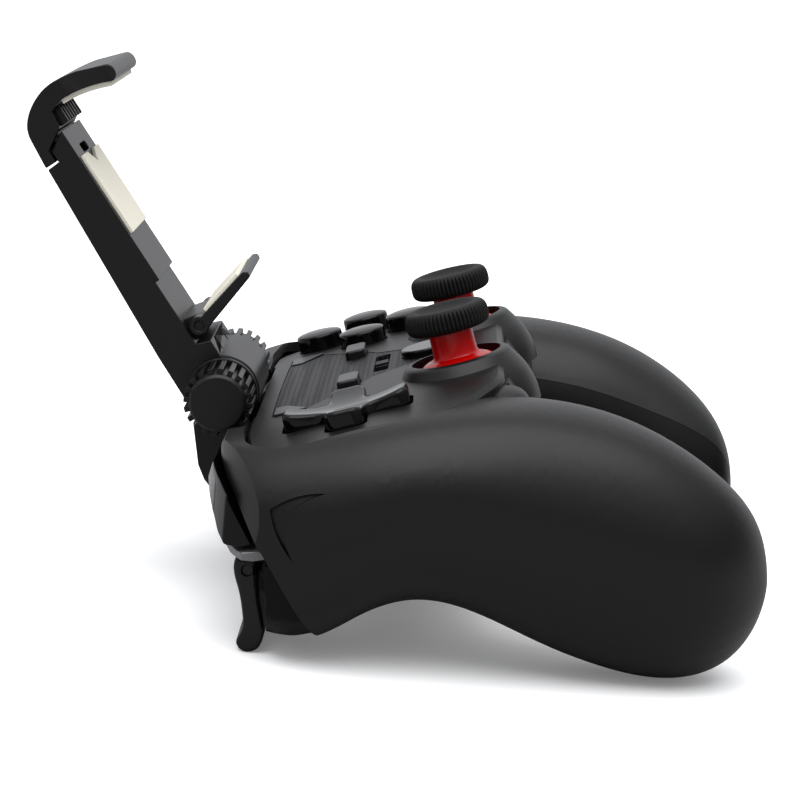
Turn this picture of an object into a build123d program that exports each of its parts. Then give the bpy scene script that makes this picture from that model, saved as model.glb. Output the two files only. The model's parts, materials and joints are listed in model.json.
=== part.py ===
from build123d import *
import os
from math import cos, pi, radians, sin

# A wireless gamepad with a folding phone clamp, resting on its two handles and its two trigger tips.
# +X is the player's right, +Y points away from the player, +Z is up, all in millimetres.
# The origin is on the table, under the middle of the object's box.

os.makedirs("parts", exist_ok=True)

# Shells
wall = 2.2
seam_depth = 4.0
rim_chamfer = 1.0
frame_shift = 10.45
seam_gap = 0.1
groove_depth = 0.7
floor_z = 14.8
core_half_width = 44.0
shoulder_inner_x = 31.0

# Control deck: a plane tilted up towards the player, with a shallow crown across its width
deck_y = -4.5 - frame_shift
deck_z = 56.7
deck_tilt = 19.0
deck_crown = 0.7
crown_radius = 1150.0
crown_steps = (0.0, 20.0, 36.0, 46.0, 56.0, 66.0, 90.0)
crown_rolls = ((60.0, 0.0), (30.0, 0.0), (15.0, 0.0), (-2.0, 0.003), (-14.0, 0.005), (-50.0, 0.005))
roll_start = 36.0
deck_front = 45.5
deck_rear = 9.5
deck_half_width = 68.1
skirt = 1.4
ledge = 3.0
plate_underside = 2.9

# Thumbsticks
stick_spacing = 51.2
stick_cap_d = 18.0
stick_cap_thickness = 5.2
stick_cap_height = 8.3
stick_stem_r = 4.2
stick_dome_r = 11.6
stick_pivot_depth = 6.5
dome_gap = 0.5
well_rim_r = 10.4
well_rim_height = 2.5
well_mouth_r = 9.7
well_foot_r = 15.6
well_depth = 10.0
dome_wall = 1.2
dome_rim = 3.6
neck_r = 2.9
gimbal_side = 17.0
gimbal_top = -2.2
gimbal_wall = 1.2
slide_gap = 0.2
ring_r = 5.6
ring_bore_r = 4.2
ring_thickness = 2.4
hub_r = 3.8
trunnion_r = 1.0
cap_ribs = 44
rib_depth = 0.45
pin_gap = 0.05
click_travel = 0.5

# Direction pad and face buttons
cluster_x = 48.7
cluster_v = 23.4
dpad_span = 26.6
dpad_arm_width = 7.8
dpad_height = 3.2
dpad_dish_r = 62.0
dpad_gap = 0.6
dpad_ball_r = 1.8
dpad_leg_r = 9.6
dpad_post_r = 2.8
button_d = 10.8
button_pitch_r = 10.8
button_height = 3.9
button_gap = 0.35
button_travel = 1.8
flange_width = 0.8
flange_thickness = 1.0
flange_drop = 0.2

# Centre panel and its keys
panel_half_width = 35.0
panel_front = 40.5
panel_thickness = 1.2
panel_corner_v = 34.5
home_d = 12.0
home_v = 7.0
home_height = 1.6
menu_key_x = 19.2
menu_key_v = 24.2
menu_key_length = 10.0
menu_key_width = 4.6
menu_key_height = 1.8
corner_key_leg = 8.0
corner_key_height = 0.6
mode_slot_length = 20.0
mode_slot_width = 3.4
mode_slot_v = 17.6
mode_knob_length = 5.0
mode_steps_travel = 6.0
key_leg_r = 1.5
key_travel = 0.6

# Circuit board
board_depth = 13.4
board_thickness = 1.6
board_margin = 8.0
socket_x = 25.0
socket_width = 8.0
socket_height = 3.0
socket_low_v = 39.5
socket_high_v = 46.6
socket_wall = 0.4
socket_gap = 0.2
post_r = 3.6
boss_r = 2.6
screw_r = 1.1
screw_head_r = 2.3
screw_head_height = 1.8
screw_seat = -24.0
screw_length = 16.0

# Battery and rumble motors
battery_size = (46.0, 26.0, 6.5)
battery_y = 1.5
motor_x = 42.0
motor_y = -44.0
motor_z = 26.0
motor_r = 10.0
motor_length = 13.0
motor_shaft_r = 1.0
weight_r = 9.4
weight_thickness = 6.0

# Shoulders
nose_gap = 1.4
bumper_travel = 0.8
trigger_x = 50.0
trigger_width = 24.0
trigger_gap = 0.5
trigger_pin = (34.6, 17.0)
trigger_pin_r = 1.1
knuckle_width = 6.0
knuckle_r = 2.0
bumper_outer_x = 66.0
bumper_tab_width = 12.0
bumper_tab_depth = 5.5
tab_gap = 0.3

# Phone clamp
hinge_y = 46.0 - frame_shift
hinge_z = 44.3
arm_lean = 52.2
arm_half_width = 14.2
drum_r = 8.0
ear_r = 7.7
ear_thickness = 1.7
ear_gap = 0.3
knob_r = 7.4
knob_root_r = 6.3
knob_length = 12.0
knob_teeth = 20
axle_r = 2.5
knob_gap = 0.2
arm_face = 1.8
arm_length = 66.4
block_face = 3.9
lug_half_width = 10.0
lip_half_width = 19.4
tongue_half_width = 12.6
tongue_thickness = 1.8
rib_pitch = 1.6
rib_height = 0.4
tongue_gap = 0.2
jaw_travel = 28.0
lower_pivot_a = 14.9
lower_pivot_b = 3.7
lower_knuckle_r = 2.1
lower_jaw_length = 15.9
lower_jaw_lift = 75.0
jaw_pin_r = 1.0
pad_thickness = 0.85

tilt = radians(deck_tilt)
deck = Plane(origin=(0, deck_y, deck_z), x_dir=(1, 0, 0), z_dir=(0, sin(tilt), cos(tilt)))
across_deck = Plane(origin=deck.origin, x_dir=(1, 0, 0), z_dir=-deck.y_dir)
lean = radians(arm_lean)
arm_up = Vector(0, cos(lean), sin(lean))
arm_out = Vector(0, -sin(lean), cos(lean))
hinge_point = Vector(0, hinge_y, hinge_z)
clamp_side = Plane(origin=hinge_point, x_dir=arm_up, z_dir=(1, 0, 0))
clamp_face = Plane(origin=hinge_point, x_dir=(1, 0, 0), z_dir=arm_out)
sides = (("left", -1), ("right", 1))
stick_x = stick_spacing / 2


def keep(name, part):
    """Label a finished piece and write it as its own STEP file."""
    part.label = name
    export_step(part, f"parts/{name}.step")


def side_prism(points, x_low, x_high):
    """A closed outline in the YZ plane, carried from x_low to x_high."""
    with BuildPart() as prism:
        with BuildSketch(Plane.YZ.offset(x_low)):
            with BuildLine():
                Polyline(*[(y - frame_shift, z) for y, z in points], close=True)
            make_face()
        extrude(amount=x_high - x_low)
    return prism.part


# The handle's outline: distance forward, middle, half width, lowest and highest point, squareness,
# and how much it climbs towards the outside.
# Forward distances in this list and in the shoulder outlines are from the line of the stick pivots' foot.
handle_stations = (
    (47.0, 48.0, 16.0, 6.0, 40.5, 3.4, 0.0),
    (38.0, 51.5, 20.0, 4.2, 43.4, 3.4, 0.0),
    (27.0, 53.5, 21.6, 3.5, 46.6, 3.2, 0.0),
    (19.0, 54.5, 22.0, 4.9, 48.9, 3.0, 0.0),
    (10.0, 55.0, 22.0, 10.5, 51.4, 2.8, 0.0),
    (0.0, 54.6, 21.8, 13.9, 53.8, 2.6, 0.0),
    (-13.0, 53.9, 21.3, 11.6, 55.8, 2.4, 0.0),
    (-26.0, 53.0, 20.6, 6.3, 56.0, 2.3, 0.0),
    (-38.0, 52.5, 19.8, 2.4, 54.1, 2.25, 0.02),
    (-50.0, 52.0, 18.6, 0.35, 49.6, 2.2, 0.08),
    (-61.0, 50.4, 16.4, 2.0, 42.6, 2.15, 0.13),
    (-67.0, 48.7, 12.6, 6.2, 36.6, 2.1, 0.1),
    (-70.8, 47.6, 7.6, 12.8, 29.2, 2.0, 0.04),
)
handle_end = (47.2, -72.2, 21.2)
section_points = 12


def handle_section(station, inset):
    """One squarish oval across the handle, drawn as a closed curve."""
    forward, middle, half_width, low, high, squareness, climb = station
    points = []
    for step in range(section_points):
        turn = 2 * pi * step / section_points
        reach = abs(cos(turn)) ** (2 / squareness) * (1 if cos(turn) >= 0 else -1)
        rise = abs(sin(turn)) ** (2 / squareness) * (1 if sin(turn) >= 0 else -1)
        x = middle + (half_width - inset) * reach
        z = (low + high) / 2 + ((high - low) / 2 - inset) * rise + climb * (x - middle)
        points.append((x, z))
    with BuildSketch(Plane.XZ.offset(frame_shift - forward)) as section:
        with BuildLine():
            Spline(*points, periodic=True)
        make_face()
    return section.sketch


def handle_form(inset):
    """The right handle and shoulder as one smooth solid, smaller all round by the inset."""
    end_x, end_forward, end_z = handle_end
    tip = Vertex(end_x, end_forward - frame_shift + inset, end_z)
    with BuildPart() as form:
        loft(sections=[*[handle_section(station, inset) for station in handle_stations], tip])
    return form.part


# The nose line, where the grip stops and the shoulder buttons begin, seen from the side
nose_top = (38.5, 33.5)
nose_low = (17.0, 2.75)


def nose_at(height):
    """The nose line's distance forward at a height."""
    share = (height - nose_low[1]) / (nose_top[1] - nose_low[1])
    return nose_low[0] + share * (nose_top[0] - nose_low[0])


def nose_cutter(setback):
    """Everything in front of the nose line, moved back by the setback."""
    with BuildPart() as cutter:
        with BuildSketch(Plane.YZ.offset(shoulder_inner_x)):
            with BuildLine():
                shift = -frame_shift - setback
                Spline(
                    (34.0 + shift, 49.5),
                    (40.0 + shift, 44.2),
                    (42.8 + shift, 40.2),
                    (41.3 + shift, 36.4),
                    (nose_top[0] + shift, nose_top[1]),
                )
                Line((nose_top[0] + shift, nose_top[1]), (nose_low[0] + shift, nose_low[1]))
                Line((nose_low[0] + shift, nose_low[1]), (nose_low[0] - 5 + shift, -8.0))
                Line((nose_low[0] - 5 + shift, -8.0), (60.0, -8.0))
                Line((60.0, -8.0), (60.0, 62.0))
                Line((60.0, 62.0), (34.0 + shift, 62.0))
                Line((34.0 + shift, 62.0), (34.0 + shift, 49.5))
            make_face()
        extrude(amount=90.0)
    return cutter.part


def plan_cutter(reach):
    """Everything in front of the shoulders' curve seen from above, moved forward by the reach."""
    with BuildPart() as cutter:
        with BuildSketch(Plane.XY.offset(-10.0)):
            with BuildLine():
                front = 42.8 - frame_shift + reach
                ThreePointArc((shoulder_inner_x, front + 0.4), (56.0, front - 1.2), (82.0, front - 17.0))
                Line((82.0, front - 17.0), (82.0, 60.0))
                Line((82.0, 60.0), (shoulder_inner_x, 60.0))
                Line((shoulder_inner_x, 60.0), (shoulder_inner_x, front + 0.4))
            make_face()
        extrude(amount=90.0)
    return cutter.part


def deck_outline(inset):
    """The control deck seen square on, as a sketch face in the deck's own plane."""
    with BuildSketch() as outline:
        with BuildLine():
            FilletPolyline(
                (0, deck_front),
                (46.0, deck_front),
                (deck_half_width - 1.6, deck_front - 2.2),
                (deck_half_width, 20.0),
                (deck_half_width - 6.0, 2.0),
                (46.0, -deck_rear),
                (0, -deck_rear),
                radius=[60.0, 9.0, 50.0, 16.0, 14.0],
            )
            mirror(about=Plane.YZ)
        make_face()
        if inset:
            offset(amount=-inset)
    return outline.sketch


def crown_cutter(drop):
    """Everything above the deck's crowned top, lowered by drop. The top rolls down towards the handles."""
    with BuildPart() as cutter:
        for v, roll in crown_rolls:
            with BuildSketch(across_deck.offset(-v)):
                with BuildLine():
                    top = deck_crown - drop
                    heights = []
                    for x in crown_steps:
                        heights.append((x, top - x**2 / (2 * crown_radius) - roll * max(0.0, x - roll_start) ** 2))
                    edge, low = heights[-1]
                    Spline(*[(-x, height) for x, height in reversed(heights[1:])], *heights)
                    Polyline((edge, low), (edge, 40.0), (-edge, 40.0), (-edge, low))
                make_face()
        loft()
    return cutter.part


def deck_form(depth, inset=0.0, drop=0.0):
    """The deck's plate: its outline from the depth below the plane up to the crowned top."""
    with BuildPart() as form:
        with BuildSketch(deck.offset(-depth)):
            add(deck_outline(inset))
        extrude(amount=depth + 4.0)
        add(crown_cutter(drop), mode=Mode.SUBTRACT)
    return form.part


def well_form(grow):
    """The raised bell that a stick stands in, larger all round by grow."""
    with BuildPart() as form:
        with BuildSketch(Plane.XZ):
            with BuildLine():
                foot = (well_foot_r + grow, -well_depth - grow)
                crest = (well_rim_r - 0.6, well_rim_height + grow)
                Line((0, foot[1]), foot)
                Line(foot, (foot[0], -8.6))
                Spline(
                    (foot[0], -8.6),
                    (15.1 + grow, -5.2),
                    (13.8 + grow, -1.8),
                    (11.9 + grow, 1.2),
                    crest,
                    tangents=[(0, 1), (-1, 0)],
                )
                Line(crest, (0, crest[1]))
                Line((0, crest[1]), (0, foot[1]))
            make_face()
        revolve(axis=Axis.Z)
    return form.part


def on_deck(part, x, v, height=0.0):
    """The part moved from the origin to a place on the deck, standing square to it."""
    return deck.location * Pos(x, v, height) * part


# Middle of the body, seen from the side: the front wall carries the clamp's bracket
front_wall = ((30.0, 17.5), (37.5, 29.0), (40.2, 41.0))


def core_form(inset):
    """The middle of the body on the right side, between the handles and under the deck."""
    with BuildPart() as form:
        with BuildSketch(Plane.YZ):
            with BuildLine():
                outline = (
                    (-15.0, 57.5),
                    (-21.5, 50.0),
                    (-23.5, 38.0),
                    (-21.5, 26.0),
                    (-14.0, floor_z),
                    (21.0, floor_z),
                    *front_wall,
                    (38.6, 42.4),
                    (36.0, 44.0),
                )
                Polyline(*[(y - frame_shift, z) for y, z in outline], close=True)
            make_face()
            if inset:
                offset(amount=-inset, kind=Kind.INTERSECTION)
        extrude(amount=core_half_width)
    return form.part


# The grip's seam with the bottom shell is a slanting plane, seen from behind as a line
seam_top = (34.4, 46.0)
seam_foot = (53.8, 0.0)


def seam_side(gap):
    """Everything outside the seam plane, less the gap."""
    with BuildPart() as outside:
        with BuildSketch(Plane.XZ.offset(100.0)):
            with BuildLine():
                slope = (seam_foot[0] - seam_top[0]) / (seam_foot[1] - seam_top[1])
                top_x = seam_top[0] + (80.0 - seam_top[1]) * slope + gap
                low_x = seam_top[0] + (-20.0 - seam_top[1]) * slope + gap
                Polyline((top_x, 80.0), (100.0, 80.0), (100.0, -20.0), (low_x, -20.0), close=True)
            make_face()
        extrude(amount=-200.0)
    return outside.part


def deck_zone(gap):
    """The space that the top shell fills, a little larger all round."""
    with BuildPart() as zone:
        with BuildSketch(deck.offset(-seam_depth - gap)):
            add(deck_outline(-gap))
        extrude(amount=30.0)
        for x in (-stick_x, stick_x):
            add(on_deck(well_form(gap), x, 0.0))
    return zone.part


hinge_trough_r = drum_r + 0.8
hinge_clear_half_width = 16.6 + knob_length + 2.0
with BuildPart() as hinge_trough:
    with BuildSketch(Plane.YZ):
        with Locations((hinge_y, hinge_z)):
            Circle(hinge_trough_r)
    extrude(amount=hinge_clear_half_width, both=True)

with BuildPart() as half_body:
    add(core_form(0.0))
    add(handle_form(0.0))
    add(nose_cutter(0.0), mode=Mode.SUBTRACT)
    add(plan_cutter(0.0), mode=Mode.SUBTRACT)
    add(deck_zone(seam_gap), mode=Mode.SUBTRACT)
    add(hinge_trough.part, mode=Mode.SUBTRACT)

with BuildPart() as body_inside:
    add(half_body.part)
    add(seam_side(-1.0), mode=Mode.SUBTRACT)
    add(mirror(body_inside.part, about=Plane.YZ))


def socket_space(gap):
    """The charging socket's outside, in line with the circuit board."""
    with BuildPart() as space:
        with BuildSketch(deck.offset(-board_depth - gap)):
            with Locations((socket_x, (socket_low_v + socket_high_v) / 2)):
                Rectangle(socket_width + 2 * gap, socket_high_v - socket_low_v + 20 * gap)
        extrude(amount=socket_height + 2 * gap)
    return space.part


with BuildPart() as half_cavity:
    add(core_form(wall))
    add(handle_form(wall))
    add(nose_cutter(wall), mode=Mode.SUBTRACT)
    add(plan_cutter(-wall), mode=Mode.SUBTRACT)

# Grips: the soft-touch outer shells
with BuildPart() as crescent:
    with BuildSketch(Plane.YZ.offset(58.0)):
        with BuildLine():
            shift = -frame_shift
            Spline((19.5 + shift, 37.6), (26.0 + shift, 35.9), (30.5 + shift, 33.0))
            Spline((30.5 + shift, 33.0), (29.0 + shift, 28.6), (24.7 + shift, 22.4))
            Spline((24.7 + shift, 22.4), (27.2 + shift, 28.4), (27.0 + shift, 32.6))
            Spline((27.0 + shift, 32.6), (24.2 + shift, 35.1), (19.5 + shift, 37.6))
        make_face()
    extrude(amount=30.0)
    add(handle_form(groove_depth), mode=Mode.SUBTRACT)

def bumper_tab(gap):
    """The tab that guides a bumper through the nose of the grip."""
    with BuildPart() as tab:
        with Locations((trigger_x, 40.6 - frame_shift, 30.4)):
            Box(
                bumper_tab_width + 2 * gap,
                2 * bumper_tab_depth,
                4.4 + 2 * gap,
                align=(Align.CENTER, Align.MAX, Align.CENTER),
            )
    return tab.part


# Pods: the bottom shell's blocks under the nose, with a knuckle for each trigger's pin
pod_side = (
    (nose_at(20.6), 20.6),
    (31.2, 20.6),
    (29.8, 13.7),
    (29.5, 7.4),
    (29.9, 4.2),
    (25.3, 4.7),
    (20.9, 6.5),
    (nose_at(6.5), 6.5),
)
swing_side = (
    (40.0, 20.2),
    (31.9, 20.2),
    (30.0, 16.0),
    (27.2, 9.0),
    (26.4, 3.0),
    (26.4, -2.0),
    (40.0, -2.0),
)
with BuildPart() as pod:
    pin_y, pin_z = trigger_pin
    add(side_prism(pod_side, shoulder_inner_x + 1.0, 72.0))
    add(handle_form(0.7), mode=Mode.INTERSECT)
    low_x = trigger_x - trigger_width / 2 - trigger_gap
    add(side_prism(swing_side, low_x, low_x + trigger_width + 2 * trigger_gap), mode=Mode.SUBTRACT)
    with Locations((trigger_x, pin_y - frame_shift, pin_z)):
        Cylinder(radius=knuckle_r, height=knuckle_width, rotation=(0, 90, 0))
    with Locations((trigger_x, pin_y - frame_shift, pin_z)):
        Box(knuckle_width, 6.0, 2 * knuckle_r, align=(Align.CENTER, Align.MAX, Align.CENTER))
    with Locations((trigger_x, pin_y - frame_shift, pin_z)):
        Cylinder(radius=trigger_pin_r, height=knuckle_width, rotation=(0, 90, 0), mode=Mode.SUBTRACT)


with BuildPart() as right_grip:
    add(half_body.part)
    add(seam_side(seam_gap), mode=Mode.INTERSECT)
    add(half_cavity.part, mode=Mode.SUBTRACT)
    add(crescent.part, mode=Mode.SUBTRACT)
    add(bumper_tab(tab_gap), mode=Mode.SUBTRACT)
    with BuildSketch(deck.offset(-seam_depth - seam_gap)):
        add(deck_outline(ledge))
    extrude(amount=-4.0, mode=Mode.SUBTRACT)
keep("right_grip", right_grip.part)
keep("left_grip", mirror(right_grip.part, about=Plane.YZ))

with BuildPart() as half_bottom:
    add(half_body.part)
    add(seam_side(0.0), mode=Mode.SUBTRACT)
    add(half_cavity.part, mode=Mode.SUBTRACT)
    add(pod.part)

post_places = [(side * x, v) for x, v in ((20.0, 36.0), (41.0, -2.0)) for side in (-1, 1)]
board_foot = -board_depth - board_thickness

with BuildPart() as post_room:
    add(body_inside.part)
    add(half_cavity.part)
    add(mirror(half_cavity.part, about=Plane.YZ))

with BuildPart() as posts:
    with BuildSketch(deck.offset(board_foot)):
        with Locations(*post_places):
            Circle(post_r)
    extrude(amount=-40.0)
    with Locations((motor_x - 3.0, motor_y - frame_shift, motor_z)):
        Box(3.0, 2 * motor_r, 30.0, align=(Align.MIN, Align.CENTER, Align.MAX))
        Cylinder(radius=motor_r, height=60.0, rotation=(0, 90, 0), mode=Mode.SUBTRACT)
    with Locations((-motor_x, motor_y - frame_shift, motor_z)):
        Box(3.0, 2 * motor_r, 30.0, align=(Align.MIN, Align.CENTER, Align.MAX))
        Cylinder(radius=motor_r, height=60.0, rotation=(0, 90, 0), mode=Mode.SUBTRACT)
    add(post_room.part, mode=Mode.INTERSECT)

with BuildPart() as bottom_shell:
    add(half_bottom.part)
    add(mirror(half_bottom.part, about=Plane.YZ))
    add(posts.part)
    with BuildSketch(deck.offset(screw_seat)):
        with Locations(*post_places):
            Circle(screw_head_r + 0.3)
    extrude(amount=-60.0, mode=Mode.SUBTRACT)
    with BuildSketch(deck.offset(board_foot)):
        with Locations(*post_places):
            Circle(screw_r)
    extrude(amount=-(board_foot - screw_seat), mode=Mode.SUBTRACT)
    add(socket_space(socket_gap), mode=Mode.SUBTRACT)
keep("bottom_shell", bottom_shell.part)

# Sizes that follow from the values above
dpad_reach = dpad_span / 2
dpad_tilt = 5.0
dpad_flange_r = dpad_reach + dpad_gap + 0.9
dpad_flange_top = -(plate_underside + dpad_flange_r * sin(radians(dpad_tilt)) + 0.15)
dpad_pivot_depth = flange_thickness - dpad_flange_top
flange_top = -(plate_underside + flange_drop)
board_top = -board_depth
membrane_top = board_top + 0.8
stem_end = board_top + 4.0
dome_top = stem_end - button_travel - 0.15
button_places = (
    ("north", cluster_x, cluster_v + button_pitch_r),
    ("east", cluster_x + button_pitch_r, cluster_v),
    ("south", cluster_x, cluster_v - button_pitch_r),
    ("west", cluster_x - button_pitch_r, cluster_v),
)
panel_floor = -1.7
corner_key_x = panel_half_width - corner_key_leg / 2 - 0.4
corner_key_v = panel_front - corner_key_leg / 2 - 0.4


def cross_outline(grow):
    """The direction pad's cross with rounded ends and inner corners."""
    with BuildSketch() as outline:
        length = dpad_span + 2 * grow
        width = dpad_arm_width + 2 * grow
        RectangleRounded(length, width, 1.5 + grow)
        RectangleRounded(width, length, 1.5 + grow)
        inner = [
            corner
            for corner in outline.vertices()
            if abs(abs(corner.X) - width / 2) < 0.01 and abs(abs(corner.Y) - width / 2) < 0.01
        ]
        fillet(inner, 2.2 - grow)
    return outline.sketch


def panel_outline(gap):
    """The centre panel: straight at the front, stepped in to a round end behind the home key."""
    with BuildSketch() as outline:
        with BuildLine():
            Polyline(
                (0, panel_front),
                (panel_half_width, panel_front),
                (panel_half_width + 0.4, panel_corner_v),
                (20.0, 21.5),
                (15.5, 19.2),
                (10.4, 11.5),
            )
            ThreePointArc((10.4, 11.5), (7.6, 0.8), (0, -1.8))
            mirror(about=Plane.YZ)
        make_face()
        if gap:
            offset(amount=-gap)
    return outline.sketch


def corner_key_outline(gap):
    """A wedge-shaped key in the panel's front right corner, about its own middle."""
    half = corner_key_leg / 2 - gap
    with BuildSketch() as outline:
        with BuildLine():
            Polyline((half, half), (half, -half * 0.9), (-half, half * 0.35), (-half, half), close=True)
        make_face()
        fillet(outline.vertices(), 0.6)
    return outline.sketch


def key_holes(gap):
    """The holes for the small keys, the home key and the mode switch, as tall solids on the deck."""
    with BuildPart() as holes:
        with BuildSketch(deck.offset(-6.0)):
            with Locations((0, home_v)):
                Circle(home_d / 2 + gap)
            with Locations((-menu_key_x, menu_key_v), (menu_key_x, menu_key_v)):
                RectangleRounded(menu_key_length + 2 * gap, menu_key_width + 2 * gap, 1.2)
            with Locations((0, mode_slot_v)):
                RectangleRounded(mode_slot_length, mode_slot_width, 0.8)
            with Locations((corner_key_x, corner_key_v)):
                add(corner_key_outline(-gap))
            with Locations((-corner_key_x, corner_key_v)):
                add(mirror(corner_key_outline(-gap), about=Plane.YZ))
        extrude(amount=16.0)
    return holes.part


# Top shell: the deck plate with its skirt, the two wells and the openings for every control
with BuildPart() as deck_top:
    add(deck_form(seam_depth))
    rim = deck_top.faces().sort_by(Axis(deck.origin, deck.z_dir))[-1].edges()
    chamfer(rim, rim_chamfer)

with BuildPart() as dome_space:
    Sphere(stick_dome_r + dome_gap)
    with Locations((0, 0, -well_depth / 2)):
        Cylinder(radius=stick_dome_r + dome_gap, height=well_depth)

with BuildPart() as top_shell:
    add(deck_top.part)
    for x in (-stick_x, stick_x):
        add(on_deck(well_form(0.0), x, 0.0))
    with BuildSketch(deck.offset(-seam_depth)):
        add(deck_outline(skirt))
        with Locations((-stick_x, 0), (stick_x, 0)):
            Circle(well_foot_r - 1.2, mode=Mode.SUBTRACT)
    extrude(amount=seam_depth - plate_underside, mode=Mode.SUBTRACT)
    for x in (-stick_x, stick_x):
        add(on_deck(dome_space.part, x, 0.0, -stick_pivot_depth), mode=Mode.SUBTRACT)
        with Locations(deck.location * Pos(x, 0, well_rim_height)):
            Cylinder(radius=well_mouth_r, height=8.0, mode=Mode.SUBTRACT)
    with BuildSketch(deck.offset(panel_floor)):
        add(panel_outline(0.0))
    extrude(amount=6.0, mode=Mode.SUBTRACT)
    add(key_holes(0.15), mode=Mode.SUBTRACT)
    with BuildSketch(deck.offset(-6.0)):
        with Locations((-cluster_x, cluster_v)):
            add(cross_outline(dpad_gap))
        with Locations(*[(x, v) for _, x, v in button_places]):
            Circle(button_d / 2 + button_gap)
    extrude(amount=12.0, mode=Mode.SUBTRACT)
    with BuildSketch(deck.offset(-plate_underside)):
        with Locations(*post_places):
            Circle(boss_r)
    extrude(amount=-(board_depth - plate_underside))
    with BuildSketch(deck.offset(board_top)):
        with Locations(*post_places):
            Circle(screw_r)
    extrude(amount=screw_length + screw_seat - board_top, mode=Mode.SUBTRACT)
    add(hinge_trough.part, mode=Mode.SUBTRACT)
keep("top_shell", top_shell.part)

# Centre panel, flush in its recess
with BuildPart() as centre_panel:
    with BuildSketch(deck.offset(panel_floor)):
        add(panel_outline(0.12))
    extrude(amount=6.0)
    add(crown_cutter(0.1), mode=Mode.SUBTRACT)
    add(key_holes(0.15), mode=Mode.SUBTRACT)
    add(hinge_trough.part, mode=Mode.SUBTRACT)
keep("centre_panel", centre_panel.part)


def keep_key(name, outline, height, x, v, dome):
    """A key: a cap through the plate, a flange under it, and a leg down to its switch."""
    with BuildPart() as key:
        with BuildSketch(Plane.XY.offset(flange_top)):
            add(outline)
        extrude(amount=height - flange_top)
        if dome:
            top_edges = key.faces().sort_by(Axis.Z)[-1].edges()
            fillet(top_edges, dome)
        with BuildSketch(Plane.XY.offset(flange_top)):
            add(outline)
            offset(amount=flange_width)
        extrude(amount=-flange_thickness)
        with BuildSketch(Plane.XY.offset(flange_top - flange_thickness)):
            Circle(key_leg_r)
        extrude(amount=-(flange_top - flange_thickness - stem_end))
    keep(name, on_deck(key.part, x, v))


with BuildSketch() as home_outline:
    Circle(home_d / 2)
with BuildSketch() as menu_outline:
    RectangleRounded(menu_key_length, menu_key_width, 1.1)
keep_key("home_button", home_outline.sketch, home_height + deck_crown, 0.0, home_v, 0.5)
keep_key("select_button", menu_outline.sketch, menu_key_height + deck_crown, -menu_key_x, menu_key_v, 0.6)
keep_key("start_button", menu_outline.sketch, menu_key_height + deck_crown, menu_key_x, menu_key_v, 0.6)
corner_outline = corner_key_outline(0.0)
keep_key("clear_button", corner_outline, corner_key_height, corner_key_x, corner_key_v, 0.2)
mirror_outline = mirror(corner_outline, about=Plane.YZ)
keep_key("turbo_button", mirror_outline, corner_key_height, -corner_key_x, corner_key_v, 0.2)

# Mode switch: a ribbed slider in a slot, with its plate under the deck
with BuildPart() as mode_knob:
    with BuildSketch(Plane.XY.offset(flange_top)):
        Rectangle(mode_knob_length, mode_slot_width - 0.4)
    extrude(amount=0.3 - flange_top)
    with BuildSketch(Plane.XY.offset(0.3)):
        with GridLocations(1.4, 0, 3, 1):
            Rectangle(0.7, mode_slot_width - 0.4)
    extrude(amount=0.5)
    with BuildSketch(Plane.XY.offset(flange_top)):
        Rectangle(mode_slot_length + 6.0, mode_slot_width + 2.4)
    extrude(amount=-flange_thickness)
    with BuildSketch(Plane.XY.offset(flange_top - flange_thickness)):
        Rectangle(2.0, 1.6)
    extrude(amount=-(flange_top - flange_thickness - board_top - 2.0))
keep("mode_switch_knob", on_deck(mode_knob.part, 0.0, mode_slot_v))

# Direction pad: a dished cross on a ball, with legs to the rubber under it
with BuildPart() as dpad:
    with BuildSketch(Plane.XY.offset(dpad_flange_top)):
        add(cross_outline(0.0))
    extrude(amount=dpad_height - dpad_flange_top)
    with Locations((0, 0, dpad_height + dpad_dish_r - dpad_reach**2 / (2 * dpad_dish_r))):
        Sphere(dpad_dish_r, mode=Mode.SUBTRACT)
    with BuildSketch(Plane.XY.offset(dpad_flange_top)):
        Circle(dpad_flange_r)
    extrude(amount=-flange_thickness)
    with BuildSketch(Plane.XY.offset(dpad_flange_top - flange_thickness)):
        with PolarLocations(dpad_leg_r, 4):
            Circle(1.6)
    extrude(amount=-(dpad_flange_top - flange_thickness - stem_end))
    with Locations((0, 0, -dpad_pivot_depth)):
        Sphere(dpad_ball_r + pin_gap, mode=Mode.SUBTRACT)
keep("dpad", on_deck(dpad.part, -cluster_x, cluster_v))

with BuildPart() as dpad_pivot:
    Sphere(dpad_ball_r)
keep("dpad_pivot", on_deck(dpad_pivot.part, -cluster_x, cluster_v, -dpad_pivot_depth))

# Face buttons: domed discs with a flange under the plate and a leg to the rubber
with BuildPart() as face_button:
    with BuildSketch(Plane.XZ):
        with BuildLine():
            radius = button_d / 2
            shoulder = button_height - 1.3
            Line((0, stem_end), (2.6, stem_end))
            Line((2.6, stem_end), (2.6, flange_top - flange_thickness))
            Line((2.6, flange_top - flange_thickness), (radius + flange_width, flange_top - flange_thickness))
            Line((radius + flange_width, flange_top - flange_thickness), (radius + flange_width, flange_top))
            Line((radius + flange_width, flange_top), (radius, flange_top))
            Line((radius, flange_top), (radius, shoulder))
            Spline(
                (radius, shoulder),
                (radius - 0.7, button_height - 0.55),
                (0, button_height),
                tangents=[(0, 1), (-1, 0)],
            )
            Line((0, button_height), (0, stem_end))
        make_face()
    revolve(axis=Axis.Z)
for name, x, v in button_places:
    keep(f"button_{name}", on_deck(face_button.part, x, v))


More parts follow.
